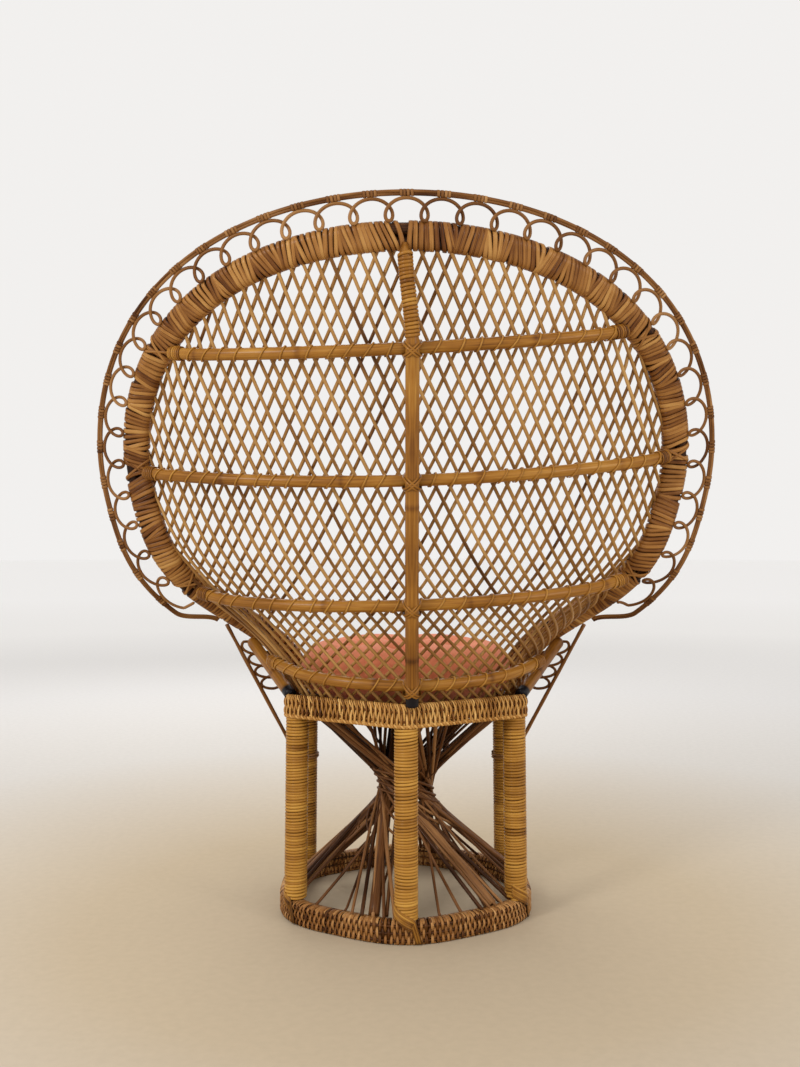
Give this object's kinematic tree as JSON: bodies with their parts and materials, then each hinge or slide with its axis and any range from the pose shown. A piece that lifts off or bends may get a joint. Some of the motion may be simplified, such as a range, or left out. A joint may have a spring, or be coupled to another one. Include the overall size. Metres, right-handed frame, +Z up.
{
  "type": "peacock chair",
  "caption": "Rattan chair with a wide round fan back over a six-sided seat, an hourglass of crossed canes between base ring and seat, and a loose tufted round cushion.",
  "frame": {"origin": "on the floor, in the middle of the part's box", "axes": "+Z up, -Y the way the chair faces, +X towards the sitter's left"},
  "size_m": [1.1416, 0.7348, 1.2906],
  "materials": {
    "woven_band": "woven cane, satin",
    "wrapped_cane": "wound cane, satin",
    "bare_cane": "varnished cane, satin",
    "dark_cane": "dark stained cane, satin",
    "cushion_cloth": "matt woven cloth"
  },
  "bodies": {
    "chair": {"base_weave": "woven_band", "seat_apron": "woven_band", "seat_deck": "woven_band", "leg_wrap_back": "wrapped_cane", "leg_wrap_back_left": "wrapped_cane", "leg_wrap_front_left": "wrapped_cane", "leg_wrap_front": "wrapped_cane", "leg_wrap_front_right": "wrapped_cane", "leg_wrap_back_right": "wrapped_cane", "fan_hoop_wrap": "wrapped_cane", "outer_rim": "wrapped_cane", "spine_wrap": "wrapped_cane", "base_hoop_upper": "bare_cane", "base_hoop_lower": "bare_cane", "leg_pole_back": "bare_cane", "leg_pole_back_left": "bare_cane", "leg_pole_front_left": "bare_cane", "leg_pole_front": "bare_cane", "leg_pole_front_right": "bare_cane", "leg_pole_back_right": "bare_cane", "seat_hoop": "bare_cane", "fan_hoop_pole_inner": "bare_cane", "fan_hoop_pole_outer": "bare_cane", "rim_curl": "bare_cane", "arm_cane_left": "bare_cane", "arm_cane_right": "bare_cane", "arm_curl_left": "bare_cane", "arm_curl_right": "bare_cane", "spine": "bare_cane", "cross_bar_top": "bare_cane", "cross_bar_middle": "bare_cane", "cross_bar_lower": "bare_cane", "cross_bar_bottom": "bare_cane", "side_post_left": "bare_cane", "side_post_right": "bare_cane", "lattice_back_layer": "bare_cane", "lattice_front_layer": "bare_cane", "hourglass_pole_1": "dark_cane", "hourglass_pole_2": "dark_cane", "hourglass_pole_3": "dark_cane", "hourglass_pole_4": "dark_cane", "hourglass_pole_5": "dark_cane", "hourglass_pole_6": "dark_cane", "hourglass_cane_1": "dark_cane", "hourglass_cane_2": "dark_cane", "hourglass_cane_3": "dark_cane", "hourglass_cane_4": "dark_cane", "hourglass_cane_5": "dark_cane", "hourglass_cane_6": "dark_cane", "waist_binding": "dark_cane"},
    "loose_cushion": {"cushion": "cushion_cloth"}
  },
  "joints": [
    {"name": "cushion_lift", "type": "slide", "parent": "chair", "child": "loose_cushion", "axis": [0, 0, 1], "range_m": [0, 0.9]}
  ]
}
